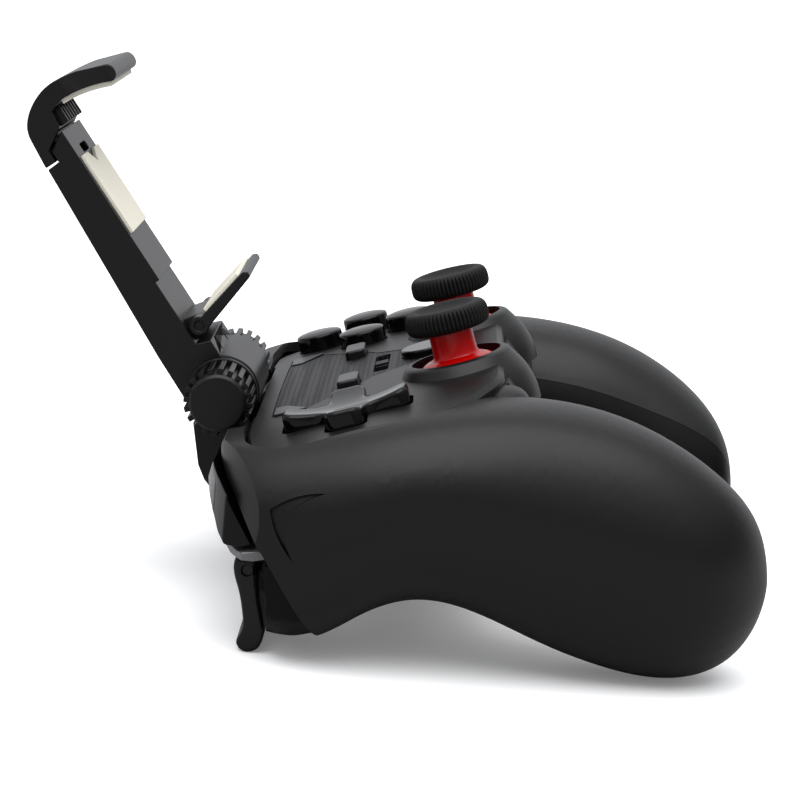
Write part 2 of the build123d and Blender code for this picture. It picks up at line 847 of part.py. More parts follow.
def membrane(reach, leg_places, post_hole):
    """A sheet of rubber on the board with a low dome under each leg."""
    with BuildPart() as sheet:
        with BuildSketch(Plane.XY.offset(board_top)):
            Circle(reach)
        extrude(amount=membrane_top - board_top)
        for x, v in leg_places:
            with Locations((x, v, membrane_top)):
                Cone(3.6, 2.2, dome_top - membrane_top, align=(Align.CENTER, Align.CENTER, Align.MIN))
        if post_hole:
            with Locations((0, 0, board_top)):
                Cylinder(radius=post_hole, height=8.0, mode=Mode.SUBTRACT)
    return sheet.part


dpad_legs = [(dpad_leg_r * cos(k * pi / 2), dpad_leg_r * sin(k * pi / 2)) for k in range(4)]
button_legs = [(x - cluster_x, v - cluster_v) for _, x, v in button_places]
dpad_rubber = membrane(dpad_leg_r + 4.6, dpad_legs, dpad_post_r + 0.3)
keep("dpad_membrane", on_deck(dpad_rubber, -cluster_x, cluster_v))
keep("button_membrane", on_deck(membrane(button_pitch_r + 4.6, button_legs, 0.0), cluster_x, cluster_v))


# Thumbsticks: each has a housing on the board, a carrier that clicks down in it, a ring that tilts
# across, and a stem that tilts along in the ring. All are drawn about the pivot.
floor_of_housing = board_top + stick_pivot_depth
carrier_side = gimbal_side - 2 * gimbal_wall - 2 * slide_gap
carrier_floor = floor_of_housing + 1.0 + click_travel + 0.1
lug_inner = ring_r + 0.4
lug_height = trunnion_r + 0.9

with BuildPart() as stick_housing:
    with BuildSketch(Plane.XY.offset(floor_of_housing)):
        RectangleRounded(gimbal_side, gimbal_side, 1.0)
    extrude(amount=gimbal_top - floor_of_housing)
    with BuildSketch(Plane.XY.offset(floor_of_housing + 1.0)):
        Rectangle(gimbal_side - 2 * gimbal_wall, gimbal_side - 2 * gimbal_wall)
    extrude(amount=20.0, mode=Mode.SUBTRACT)

with BuildPart() as stick_carrier:
    with BuildSketch(Plane.XY.offset(carrier_floor)):
        Rectangle(carrier_side, carrier_side)
    extrude(amount=gimbal_top - 0.3 - carrier_floor)
    with Locations((0, 0, carrier_floor + 1.0)):
        Cylinder(radius=lug_inner, height=20.0, align=(Align.CENTER, Align.CENTER, Align.MIN), mode=Mode.SUBTRACT)
    for side in (-1, 1):
        middle = side * (lug_inner + carrier_side / 2) / 2
        with Locations((middle, 0, gimbal_top - 1.0)):
            Box(
                carrier_side / 2 - lug_inner,
                4.2,
                lug_height - gimbal_top + 1.0,
                align=(Align.CENTER, Align.CENTER, Align.MIN),
            )
    Cylinder(
        radius=trunnion_r + pin_gap,
        height=carrier_side + 2.0,
        rotation=(0, 90, 0),
        mode=Mode.SUBTRACT,
    )

with BuildPart() as stick_ring:
    Cylinder(radius=ring_r, height=ring_thickness)
    Cylinder(radius=ring_bore_r, height=ring_thickness, mode=Mode.SUBTRACT)
    for side in (-1, 1):
        with Locations((side * (ring_r - 0.4 + carrier_side / 2) / 2, 0, 0)):
            Cylinder(radius=trunnion_r, height=carrier_side / 2 - ring_r + 0.4, rotation=(0, 90, 0))
    Cylinder(radius=trunnion_r - 0.1 + pin_gap, height=20.0, rotation=(90, 0, 0), mode=Mode.SUBTRACT)

cap_foot = stick_cap_height + stick_pivot_depth
cap_top = cap_foot + stick_cap_thickness
dome_inner_r = stick_dome_r - dome_wall

with BuildPart() as stick_stem:
    Sphere(stick_dome_r)
    Sphere(dome_inner_r, mode=Mode.SUBTRACT)
    with Locations((0, 0, dome_rim)):
        Box(40.0, 40.0, 20.0, align=(Align.CENTER, Align.CENTER, Align.MAX), mode=Mode.SUBTRACT)
    with BuildSketch(Plane.XZ):
        with BuildLine():
            join = stick_dome_r * 0.86
            side = (stick_dome_r**2 - join**2) ** 0.5
            Line((0, dome_inner_r - 0.5), (side, dome_inner_r - 0.5))
            Line((side, dome_inner_r - 0.5), (side, join))
            Spline(
                (side, join),
                (stick_stem_r + 0.3, stick_dome_r + 0.2),
                (stick_stem_r, stick_dome_r + 1.4),
                tangents=[(-0.86, 0.5), (0, 1)],
            )
            Line((stick_stem_r, stick_dome_r + 1.4), (stick_stem_r, cap_foot + 1.0))
            Polyline((stick_stem_r, cap_foot + 1.0), (0, cap_foot + 1.0), (0, dome_inner_r - 0.5))
        make_face()
    revolve(axis=Axis.Z)
    Cylinder(radius=neck_r, height=dome_inner_r, align=(Align.CENTER, Align.CENTER, Align.MIN))
    Sphere(hub_r)
    Cylinder(radius=trunnion_r - 0.1, height=2 * ring_r, rotation=(90, 0, 0))

with BuildPart() as stick_cap:
    radius = stick_cap_d / 2
    with BuildSketch(Plane.XY.offset(cap_foot)):
        Circle(radius)
        with PolarLocations(radius, cap_ribs):
            RegularPolygon(rib_depth * 1.2, 3, rotation=180, mode=Mode.SUBTRACT)
    extrude(amount=stick_cap_thickness)
    with BuildSketch(Plane.XZ):
        with BuildLine():
            middle = (cap_foot + cap_top) / 2
            Line((0, cap_foot), (radius - 3.0, cap_foot))
            Spline(
                (radius - 3.0, cap_foot),
                (radius - 0.55, cap_foot + 1.3),
                (radius, middle + 0.2),
                (radius - 0.5, cap_top - 1.1),
                (radius - 2.2, cap_top),
                tangents=[(1, 0.05), (-1, 0.12)],
            )
            Spline((radius - 2.2, cap_top), (radius - 4.2, cap_top - 0.6), (0, cap_top - 1.3), tangents=[(-1, 0), (-1, 0)])
            Line((0, cap_top - 1.3), (0, cap_foot))
        make_face()
    revolve(axis=Axis.Z, mode=Mode.INTERSECT)
    with Locations((0, 0, cap_foot)):
        Cylinder(radius=stick_stem_r, height=1.0, align=(Align.CENTER, Align.CENTER, Align.MIN), mode=Mode.SUBTRACT)

for side_name, side in sides:
    x = side * stick_x
    keep(f"{side_name}_stick_housing", on_deck(stick_housing.part, x, 0.0, -stick_pivot_depth))
    keep(f"{side_name}_stick_carrier", on_deck(stick_carrier.part, x, 0.0, -stick_pivot_depth))
    keep(f"{side_name}_stick_ring", on_deck(stick_ring.part, x, 0.0, -stick_pivot_depth))
    keep(f"{side_name}_stick_stem", on_deck(stick_stem.part, x, 0.0, -stick_pivot_depth))
    keep(f"{side_name}_stick_cap", on_deck(stick_cap.part, x, 0.0, -stick_pivot_depth))


def both_sides(stem, part):
    """Keep a right-hand piece and its mirror image."""
    keep(f"right_{stem}", part)
    keep(f"left_{stem}", mirror(part, about=Plane.YZ))


# Shoulders: bumper above, satin strip between, trigger on a pin below
bumper_side = (
    (43.4, 36.9),
    (43.9, 37.8),
    (44.9, 33.4),
    (44.2, 30.7),
    (41.3, 24.6),
    (39.5, 22.8),
    (36.4, 22.5),
    (33.8, 23.3),
    (40.2, 33.5),
)
with BuildPart() as bumper:
    add(side_prism(bumper_side, shoulder_inner_x + 0.6, bumper_outer_x))
    add(plan_cutter(2.2), mode=Mode.SUBTRACT)
    fillet(bumper.edges().filter_by(Axis.X).group_by(Axis.Y)[-1], 1.2)
    add(bumper_tab(0.0))
both_sides("bumper", bumper.part)

bezel_side = (
    (29.7, 20.65),
    (31.3, 20.65),
    (33.5, 20.1),
    (38.4, 20.2),
    (39.9, 21.1),
    (39.2, 21.8),
    (36.4, 21.7),
    (33.0, 22.3),
    (31.1, 22.4),
)
with BuildPart() as bezel:
    add(side_prism(bezel_side, shoulder_inner_x + 0.6, bumper_outer_x + 1.0))
    add(plan_cutter(-1.2), mode=Mode.SUBTRACT)
both_sides("shoulder_bezel", bezel.part)

trigger_points = (
    (37.3, 19.4),
    (37.6, 17.7),
    (36.3, 12.9),
    (35.0, 7.7),
    (35.0, 3.9),
    (35.8, 1.6),
    (34.6, 0.0),
    (32.3, 0.0),
    (30.9, 1.2),
    (30.3, 3.4),
    (31.6, 10.4),
    (32.5, 16.5),
    (33.0, 19.4),
)
pin_y, pin_z = trigger_pin
with BuildPart() as trigger:
    with BuildSketch(Plane.YZ.offset(trigger_x - trigger_width / 2)):
        with BuildLine():
            points = [(y - frame_shift, z) for y, z in trigger_points]
            Spline(*points[:9])
            Spline(*points[8:])
            Line(points[-1], points[0])
        make_face()
    extrude(amount=trigger_width)
    chamfer(trigger.faces().filter_by(Axis.X).edges(), 0.5)
    with Locations((trigger_x, pin_y - frame_shift, pin_z)):
        Cylinder(radius=trigger_pin_r + pin_gap, height=trigger_width + 2, rotation=(0, 90, 0), mode=Mode.SUBTRACT)
        Cylinder(radius=knuckle_r + 0.4, height=knuckle_width + 0.6, rotation=(0, 90, 0), mode=Mode.SUBTRACT)
    with Locations((trigger_x, pin_y - frame_shift - 3.0, pin_z)):
        Box(knuckle_width + 0.6, 6.0, 2 * knuckle_r + 1.6, mode=Mode.SUBTRACT)
both_sides("trigger", trigger.part)

with BuildPart() as shaft:
    with Locations((trigger_x, pin_y - frame_shift, pin_z)):
        Cylinder(radius=trigger_pin_r, height=trigger_width - 1.0, rotation=(0, 90, 0))
both_sides("trigger_shaft", shaft.part)


# Phone clamp, drawn from the side: first number up the arm from its hinge, second out of its face
def clamp_prism(points, half_width):
    """A closed outline in the clamp's side plane, carried equally to both sides."""
    with BuildPart() as prism:
        with BuildSketch(clamp_side):
            with BuildLine():
                Polyline(*points, close=True)
            make_face()
        extrude(amount=half_width, both=True)
    return prism.part


def on_hinge(radius, x_low, x_high):
    """A round bar on the arm's hinge axis."""
    with BuildPart() as bar:
        with Locations(((x_low + x_high) / 2, hinge_y, hinge_z)):
            Cylinder(radius=radius, height=x_high - x_low, rotation=(0, 90, 0))
    return bar.part


ear_low = arm_half_width + ear_gap
ear_high = ear_low + ear_thickness
bracket_half_width = ear_high
slot_high = arm_face - 1.0
slot_low = slot_high - tongue_thickness - 2 * tongue_gap
tongue_foot = 31.0

with BuildPart() as holder_bracket:
    bracket_side = (
        (front_wall[2][0] + 0.3, front_wall[2][1] - 3.0),
        (52.0, 38.0),
        (50.0, 28.0),
        (48.4, 24.8),
        (45.5, 21.6),
        (40.0, 19.2),
        (31.2, 18.6),
        (front_wall[1][0] + 0.15, front_wall[1][1]),
    )
    add(side_prism(bracket_side, -bracket_half_width, bracket_half_width))
    back_edges = holder_bracket.edges().filter_by(Axis.X).group_by(Axis.Y)[-2:]
    fillet([edge for group in back_edges for edge in group], 1.0)
    add(on_hinge(drum_r + 0.4, -ear_low, ear_low), mode=Mode.SUBTRACT)
    for side in (-1, 1):
        low, high = sorted((side * ear_low, side * ear_high))
        add(on_hinge(ear_r, low, high))
    add(on_hinge(axle_r, -ear_high, ear_high), mode=Mode.SUBTRACT)
keep("holder_bracket", holder_bracket.part)

axle_reach = ear_high + knob_gap + knob_length - 2.0
with BuildPart() as holder_axle:
    add(on_hinge(axle_r, -axle_reach, axle_reach))
keep("holder_axle", holder_axle.part)

knob_low = ear_high + knob_gap
with BuildPart() as knob:
    with BuildSketch(Plane.YZ.offset(knob_low)):
        with Locations((hinge_y, hinge_z)):
            Circle(knob_root_r)
            with PolarLocations(knob_root_r + 0.3, knob_teeth):
                Rectangle(2 * (knob_r - knob_root_r - 0.3), 1.15)
    extrude(amount=knob_length - 1.2)
    with BuildSketch(Plane.YZ.offset(knob_low + knob_length - 1.2)):
        with Locations((hinge_y, hinge_z)):
            Circle(knob_root_r - 0.1)
    extrude(amount=1.2)
    chamfer(knob.faces().sort_by(Axis.X)[-1].edges(), 0.6)
    add(on_hinge(axle_r + pin_gap, knob_low - 1.0, axle_reach + 0.3), mode=Mode.SUBTRACT)
keep("right_holder_knob", knob.part)
keep("left_holder_knob", mirror(knob.part, about=Plane.YZ))

# Arm: drum, block with two slits, lug for the lower jaw, and the slot the upper jaw slides in
arm_side = (
    (0.0, -7.9),
    (2.3, -8.0),
    (14.0, -7.8),
    (arm_length - 5.7, -5.4),
    (arm_length - 5.7, -2.5),
    (arm_length - 3.0, -2.5),
    (arm_length - 0.2, arm_face),
    (27.9, arm_face),
    (27.9, slot_high),
    (12.0, slot_high),
    (10.9, block_face),
    (5.0, block_face),
    (0.0, 4.0),
)
lug_side = (
    (lower_pivot_a - lower_knuckle_r, lower_pivot_b),
    (lower_pivot_a - lower_knuckle_r - 0.8, 0.0),
    (lower_pivot_a + lower_knuckle_r + 0.8, 0.0),
    (lower_pivot_a + lower_knuckle_r, lower_pivot_b),
)
slot_side = (
    (tongue_foot - 1.0, slot_low),
    (arm_length + 6.0, slot_low),
    (arm_length + 6.0, slot_high),
    (tongue_foot - 1.0, slot_high),
)
lower_pivot = hinge_point + arm_up * lower_pivot_a + arm_out * lower_pivot_b


def at_arm(a, b):
    """A plane parallel to the arm's face, at a place up the arm and a height out of it."""
    return Plane(origin=hinge_point + arm_up * a + arm_out * b, x_dir=(1, 0, 0), z_dir=arm_out)


def on_jaw_pin(radius, half_length):
    """A round bar on the lower jaw's hinge axis."""
    with BuildPart() as bar:
        with Locations(lower_pivot):
            Cylinder(radius=radius, height=2 * half_length, rotation=(0, 90, 0))
    return bar.part


with BuildPart() as holder_arm:
    add(clamp_prism(arm_side, arm_half_width))
    add(on_hinge(drum_r, -arm_half_width, arm_half_width))
    add(clamp_prism(lug_side, lug_half_width))
    add(on_jaw_pin(lower_knuckle_r, lug_half_width))
    add(on_jaw_pin(jaw_pin_r, lug_half_width), mode=Mode.SUBTRACT)
    add(clamp_prism(slot_side, tongue_half_width + 0.15), mode=Mode.SUBTRACT)
    with BuildSketch(at_arm(arm_length - 5.8, 0.0)):
        SlotOverall(9.0, 2.0)
    extrude(amount=4.0, mode=Mode.SUBTRACT)
    with BuildSketch(at_arm(8.9, block_face - 1.2)):
        with GridLocations(13.0, 0, 2, 1):
            Rectangle(1.1, 3.0)
    extrude(amount=3.0, mode=Mode.SUBTRACT)
    add(on_hinge(axle_r + pin_gap, -arm_half_width, arm_half_width), mode=Mode.SUBTRACT)
keep("holder_arm", holder_arm.part)

# Cream pads: on the arm with a notch in its top edge, under the upper jaw and on the lower jaw
with BuildPart() as arm_pad:
    with BuildSketch(at_arm(0.0, arm_face)) as pad_outline:
        with BuildLine():
            Polyline(
                (-12.4, 39.6),
                (12.4, 39.6),
                (12.4, 59.3),
                (5.4, 59.3),
                (0.0, 56.4),
                (-5.4, 59.3),
                (-12.4, 59.3),
                close=True,
            )
        make_face()
    extrude(amount=pad_thickness)
keep("arm_pad", arm_pad.part)

# Upper jaw: a hook that flares towards its lip, on a ribbed tongue in the arm's slot
hook_back = (
    (arm_length - 5.2, -5.6),
    (arm_length + 1.6, -5.0),
)
hook_outside = (
    hook_back[-1],
    (arm_length + 5.6, -3.2),
    (arm_length + 8.5, 1.0),
    (arm_length + 9.5, 5.8),
    (arm_length + 8.8, 11.4),
    (arm_length + 6.6, 18.2),
)
hook_lip = ((arm_length + 5.2, 19.3), (arm_length + 3.2, 18.8), (arm_length + 2.8, 17.6))
hook_inside = (
    hook_lip[-1],
    (arm_length + 4.6, 11.2),
    (arm_length + 5.2, 5.6),
    (arm_length + 4.2, arm_face + 0.4),
)
hook_foot = (
    hook_inside[-1],
    (arm_length + 0.5, arm_face),
    (arm_length - 2.4, -2.9),
    (arm_length - 5.2, -2.9),
    hook_back[0],
)
hook_plan = (
    (-arm_half_width, -8.0),
    (arm_half_width, -8.0),
    (arm_half_width, 7.0),
    (17.4, 11.0),
    (lip_half_width, 16.0),
    (lip_half_width, 17.6),
    (lip_half_width - 2.0, 24.0),
    (2.0 - lip_half_width, 24.0),
    (-lip_half_width, 17.6),
    (-lip_half_width, 16.0),
    (-17.4, 11.0),
    (-arm_half_width, 7.0),
)
hook_pad_outside = ((arm_length + 5.4, 5.2), (arm_length + 4.8, 11.2), (arm_length + 3.0, 17.2))
hook_pad_inside = ((arm_length + 1.9, 16.9), (arm_length + 3.7, 11.0), (arm_length + 4.3, 5.2))
tongue_low = slot_low + tongue_gap
tongue_high = slot_high - tongue_gap
tongue_side = (
    (tongue_foot, tongue_low),
    (arm_length + 5.2, tongue_low),
    (arm_length + 5.2, tongue_high),
    (tongue_foot, tongue_high),
)
rib_count = round((arm_length + 4.6 - tongue_foot) / rib_pitch)


def hook_pad_form(half_width):
    """The upper jaw's pad, bent to the inside of the hook."""
    with BuildPart() as form:
        with BuildSketch(clamp_side):
            with BuildLine():
                Spline(*hook_pad_outside)
                Line(hook_pad_outside[-1], hook_pad_inside[0])
                Spline(*hook_pad_inside)
                Line(hook_pad_inside[-1], hook_pad_outside[0])
            make_face()
        extrude(amount=half_width, both=True)
    return form.part


def cut_to_plan(narrow):
    """The upper jaw's plan shape, narrower by the given width, as a solid to keep."""
    with BuildPart() as plan:
        with BuildSketch(Plane(origin=hinge_point + arm_up * 30.0, x_dir=(1, 0, 0), z_dir=-arm_up)):
            with BuildLine():
                Polyline(*hook_plan, close=True)
            make_face()
            if narrow:
                offset(amount=-narrow)
        extrude(amount=-60.0)
    return plan.part


with BuildPart() as upper_jaw:
    with BuildSketch(clamp_side):
        with BuildLine():
            Polyline(*hook_back)
            Spline(*hook_outside, tangents=[(1.0, 0.1), (-0.32, 1.0)])
            Spline(hook_outside[-1], *hook_lip)
            Spline(*hook_inside)
            Polyline(*hook_foot)
        make_face()
    extrude(amount=lip_half_width, both=True)
    add(cut_to_plan(0.0), mode=Mode.INTERSECT)
    add(clamp_prism(tongue_side, tongue_half_width - 0.15))
    with BuildSketch(at_arm(0.0, tongue_high)):
        for rib in range(rib_count):
            with Locations((0, tongue_foot + rib_pitch * (rib + 0.75))):
                Rectangle(2 * tongue_half_width, rib_pitch / 2)
    extrude(amount=-rib_height, mode=Mode.SUBTRACT)
    add(hook_pad_form(lip_half_width), mode=Mode.SUBTRACT)
keep("upper_jaw", upper_jaw.part)

with BuildPart() as upper_jaw_pad:
    add(hook_pad_form(lip_half_width))
    add(cut_to_plan(1.0), mode=Mode.INTERSECT)
keep("upper_jaw_pad", upper_jaw_pad.part)

# Lower jaw: a plate on two knuckles, drawn along its own length and up towards its pad
lift = radians(lower_jaw_lift)
jaw_along = arm_up * cos(lift) + arm_out * sin(lift)
jaw_side = Plane(origin=lower_pivot, x_dir=jaw_along, z_dir=(-1, 0, 0))
jaw_half_width = arm_half_width + 0.6
lower_pad_low = 3.0
lower_pad_high = 13.8
with BuildPart() as lower_jaw:
    with BuildSketch(jaw_side):
        with BuildLine():
            Polyline(
                (-1.0, 1.0),
                (lower_jaw_length - 0.8, 1.0),
                (lower_jaw_length, 0.2),
                (lower_jaw_length - 0.4, -0.9),
                (1.0, -1.7),
                (-1.0, -1.7),
                close=True,
            )
        make_face()
        Circle(lower_knuckle_r)
    extrude(amount=jaw_half_width, both=True)
    with BuildSketch(Plane(origin=lower_pivot, x_dir=(1, 0, 0), z_dir=jaw_side.y_dir)):
        with Locations((0, 0)):
            Rectangle(2 * lug_half_width + 1.0, 2 * lower_knuckle_r + 2.6)
    extrude(amount=6.0, both=True, mode=Mode.SUBTRACT)
    add(on_jaw_pin(jaw_pin_r + pin_gap, jaw_half_width), mode=Mode.SUBTRACT)
keep("lower_jaw", lower_jaw.part)

with BuildPart() as lower_jaw_pad:
    with BuildSketch(jaw_side):
        with BuildLine():
            Polyline(
                (lower_pad_low, 1.0),
                (lower_pad_high, 1.0),
                (lower_pad_high, 1.0 + pad_thickness),
                (lower_pad_low, 1.0 + pad_thickness),
                close=True,
            )
        make_face()
    extrude(amount=jaw_half_width - 1.2, both=True)
keep("lower_jaw_pad", lower_jaw_pad.part)

with BuildPart() as jaw_pin:
    add(on_jaw_pin(jaw_pin_r, jaw_half_width - 0.3))
keep("jaw_pin", jaw_pin.part)


# Inside: board with its switches, socket, post and ball seat for the pad, battery, motors and screws
switch_top = stem_end - key_travel - 0.15
key_legs = (
    (0.0, home_v),
    (-menu_key_x, menu_key_v),
    (menu_key_x, menu_key_v),
    (-corner_key_x, corner_key_v),
    (corner_key_x, corner_key_v),
)
with BuildPart() as main_pcb:
    with BuildSketch(deck.offset(board_foot)):
        add(deck_outline(board_margin))
        with Locations((socket_x, (socket_low_v + deck_front - board_margin) / 2)):
            Rectangle(socket_width + 6.0, 8.0)
        with Locations(*post_places):
            Circle(screw_r + 0.3, mode=Mode.SUBTRACT)
    extrude(amount=board_thickness)
    with BuildSketch(deck.offset(board_top)):
        with Locations(*key_legs):
            Rectangle(4.2, 4.2)
    extrude(amount=switch_top - board_top)
    with BuildSketch(deck.offset(board_top)):
        with Locations((0, mode_slot_v)):
            Rectangle(9.0, 3.6)
    extrude(amount=1.85)
keep("main_pcb", main_pcb.part)

with BuildPart() as charging_socket:
    add(socket_space(0.0))
    with BuildSketch(deck.offset(-board_depth + socket_wall)):
        with Locations((socket_x, socket_high_v)):
            Rectangle(socket_width - 2 * socket_wall, 12.0)
    extrude(amount=socket_height - 2 * socket_wall, mode=Mode.SUBTRACT)
keep("charging_socket", charging_socket.part)

post_height = board_depth - dpad_pivot_depth - 0.35
with BuildPart() as dpad_post:
    Cylinder(radius=dpad_post_r, height=post_height, align=(Align.CENTER, Align.CENTER, Align.MIN))
    with Locations((0, 0, board_depth - dpad_pivot_depth)):
        Sphere(dpad_ball_r + pin_gap, mode=Mode.SUBTRACT)
keep("dpad_post", on_deck(dpad_post.part, -cluster_x, cluster_v, board_top))

with BuildPart() as battery:
    with Locations((0, battery_y - frame_shift, floor_z + wall)):
        Box(*battery_size, align=(Align.CENTER, Align.CENTER, Align.MIN))
    fillet(battery.edges().filter_by(Axis.Z), 2.0)
keep("battery", battery.part)

with BuildPart() as motor:
    with Locations((motor_x - 3.0, motor_y - frame_shift, motor_z)):
        Cylinder(
            radius=motor_r,
            height=motor_length,
            rotation=(0, 90, 0),
            align=(Align.CENTER, Align.CENTER, Align.MIN),
        )
        Cylinder(
            radius=motor_shaft_r,
            height=motor_length + weight_thickness + 1.5,
            rotation=(0, 90, 0),
            align=(Align.CENTER, Align.CENTER, Align.MIN),
        )
both_sides("rumble_motor", motor.part)

with BuildPart() as weight:
    with BuildSketch(Plane.YZ.offset(motor_x - 3.0 + motor_length + 0.4)):
        with Locations((motor_y - frame_shift, motor_z)):
            Circle(weight_r)
            with Locations((0, 2.2)):
                Rectangle(40.0, 40.0, align=(Align.CENTER, Align.MIN), mode=Mode.SUBTRACT)
            Circle(motor_shaft_r + pin_gap, mode=Mode.SUBTRACT)
    extrude(amount=weight_thickness)
both_sides("rumble_weight", weight.part)

with BuildPart() as shell_screws:
    with BuildSketch(deck.offset(screw_seat)):
        with Locations(*post_places):
            Circle(screw_head_r)
    extrude(amount=-screw_head_height)
    with BuildSketch(deck.offset(screw_seat)):
        with Locations(*post_places):
            Circle(screw_r)
    extrude(amount=screw_length)
keep("shell_screws", shell_screws.part)
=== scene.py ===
import json
from math import atan2, cos, pi, radians, sin

import bmesh
import bpy
from mathutils import Matrix, Vector


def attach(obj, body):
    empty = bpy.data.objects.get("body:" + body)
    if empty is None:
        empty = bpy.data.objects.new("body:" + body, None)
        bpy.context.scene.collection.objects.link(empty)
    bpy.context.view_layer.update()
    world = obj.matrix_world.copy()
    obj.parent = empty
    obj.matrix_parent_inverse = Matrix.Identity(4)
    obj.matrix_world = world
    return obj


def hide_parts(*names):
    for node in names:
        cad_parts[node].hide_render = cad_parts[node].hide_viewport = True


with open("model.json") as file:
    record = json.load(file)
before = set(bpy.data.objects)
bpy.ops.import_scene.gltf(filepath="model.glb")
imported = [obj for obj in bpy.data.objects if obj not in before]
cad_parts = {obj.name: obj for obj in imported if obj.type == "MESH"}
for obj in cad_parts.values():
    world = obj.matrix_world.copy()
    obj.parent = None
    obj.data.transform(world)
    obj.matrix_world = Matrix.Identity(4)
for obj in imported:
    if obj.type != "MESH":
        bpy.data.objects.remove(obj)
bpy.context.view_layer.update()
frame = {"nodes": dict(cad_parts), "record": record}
body_of = {
    node: body
    for body, nodes in frame["record"]["behaviour"]["bodies"].items()
    for node in nodes
}
slot_of = {part["node"]: part["material_slot"] for part in frame["record"]["subparts"]}

# Table and room
# A white matt table in a light tent: bright above and behind the clamp, dim on the camera's side.
# The table's own white makes the background, and the tent gives the gloss parts their streaks.


def linear(code):
    """An sRGB hex colour as linear red, green, blue and alpha."""
    parts = [int(code[start : start + 2], 16) / 255 for start in (1, 3, 5)]
    return [c / 12.92 if c <= 0.04045 else ((c + 0.055) / 1.055) ** 2.4 for c in parts] + [1.0]


def add_node(tree, kind, settings=None, links=None):
    """A node of a kind, with its settings (attributes or inputs) and the sockets that feed it."""
    node = tree.nodes.new(kind)
    for key, value in (settings or {}).items():
        if isinstance(key, str) and key[0].islower():
            setattr(node, key, value)
        else:
            node.inputs[key].default_value = value
    for key, socket in (links or {}).items():
        tree.links.new(socket, node.inputs[key])
    return node


scene = bpy.context.scene
scene.view_settings.view_transform = "Standard"

room = bpy.data.worlds.new("light_tent")
scene.world = room
room.use_nodes = True
tent = room.node_tree
tent.nodes.clear()
direction = add_node(tent, "ShaderNodeTexCoord").outputs["Generated"]
TENT_DIM = 0.1
TENT_WALLS = (
    ((-0.2, 0.0, 1.0), 0.0, 0.95, 1.0),
    ((1.0, 0.0, 0.12), 0.35, 0.95, 0.75),
    ((0.1, 1.0, 0.15), 0.5, 0.95, 0.25),
)
level = add_node(tent, "ShaderNodeMath", {"operation": "ADD", 0: TENT_DIM, 1: 0.0}).outputs[0]
for towards, edge, full, strength in TENT_WALLS:
    facing = add_node(
        tent,
        "ShaderNodeVectorMath",
        {"operation": "DOT_PRODUCT", 1: Vector(towards).normalized()},
        {0: direction},
    )
    wall = add_node(
        tent,
        "ShaderNodeMapRange",
        {
            "interpolation_type": "SMOOTHSTEP",
            "From Min": edge,
            "From Max": full,
            "To Max": strength,
        },
        {"Value": facing.outputs["Value"]},
    )
    level = add_node(
        tent, "ShaderNodeMath", {"operation": "ADD"}, {0: wall.outputs["Result"], 1: level}
    ).outputs[0]
glow = add_node(tent, "ShaderNodeBackground", {"Color": linear("#fbfcff")}, {"Strength": level})
add_node(tent, "ShaderNodeOutputWorld", {}, {"Surface": glow.outputs[0]})

SUN_STRENGTH = 2.3
SUN_WIDTH = radians(60)
SUN_FROM = Vector((-0.35, 0.0, 1.0))
key = bpy.data.lights.new("overhead_box", "SUN")
key.energy = SUN_STRENGTH
key.angle = SUN_WIDTH
key_lamp = bpy.data.objects.new("overhead_box", key)
scene.collection.objects.link(key_lamp)
key_lamp.rotation_euler = SUN_FROM.to_track_quat("Z", "Y").to_euler()

TABLE_SIDE = 16.0
TABLE_LIFT = 0.15
TABLE_TOP = -0.0003
bm = bmesh.new()
bmesh.ops.create_grid(bm, x_segments=1, y_segments=1, size=TABLE_SIDE / 2)
table_mesh = bpy.data.meshes.new("table")
bm.to_mesh(table_mesh)
bm.free()
table = bpy.data.objects.new("table", table_mesh)
scene.collection.objects.link(table)
table.location.z = TABLE_TOP
table_white = bpy.data.materials.new("matt_white_laminate")
table_white.use_nodes = True
laminate = table_white.node_tree.nodes["Principled BSDF"]
seen = add_node(table_white.node_tree, "ShaderNodeLightPath").outputs["Is Camera Ray"]
sheet = add_node(
    table_white.node_tree,
    "ShaderNodeMix",
    {"data_type": "RGBA", 6: linear("#a8a8a9"), 7: linear("#fafafa")},
    {0: seen},
)
lift = add_node(
    table_white.node_tree, "ShaderNodeMath", {"operation": "MULTIPLY", 1: TABLE_LIFT}, {0: seen}
)
table_white.node_tree.links.new(sheet.outputs[2], laminate.inputs["Base Color"])
table_white.node_tree.links.new(lift.outputs[0], laminate.inputs["Emission Strength"])
laminate.inputs["Roughness"].default_value = 0.85
laminate.inputs["Specular IOR Level"].default_value = 0.1
laminate.inputs["Emission Color"].default_value = (1.0, 1.0, 1.0, 1.0)
table_mesh.materials.append(table_white)

# Camera: off the player's left hand, 11 degrees above the table, with a long lens
# Its place, turn and focal length were fitted to the photograph together with the sizes.
CAMERA_SPOT = Vector((-0.658065, -0.010450, 0.167166))
HEADING = radians(0.66477)
DIP = radians(10.64089)
ROLL = radians(5.31069)
FOCAL_PIXELS = 3014.10
SENSOR_MM = 36.0
PICTURE_PIXELS = 800
forward = Vector((cos(HEADING) * cos(DIP), sin(HEADING) * cos(DIP), -sin(DIP)))
level_right = Vector((sin(HEADING), -cos(HEADING), 0.0))
level_up = level_right.cross(forward)
camera_right = level_right * cos(ROLL) + level_up * sin(ROLL)
camera_up = level_up * cos(ROLL) - level_right * sin(ROLL)
lens = bpy.data.cameras.new("side_camera")
lens.sensor_width = SENSOR_MM
lens.lens = FOCAL_PIXELS * SENSOR_MM / PICTURE_PIXELS
lens.clip_end = 50.0
camera = bpy.data.objects.new("side_camera", lens)
scene.collection.objects.link(camera)
camera.matrix_world = (
    Matrix.Translation(CAMERA_SPOT)
    @ Matrix((camera_right, camera_up, -forward)).transposed().to_4x4()
)
scene.camera = camera


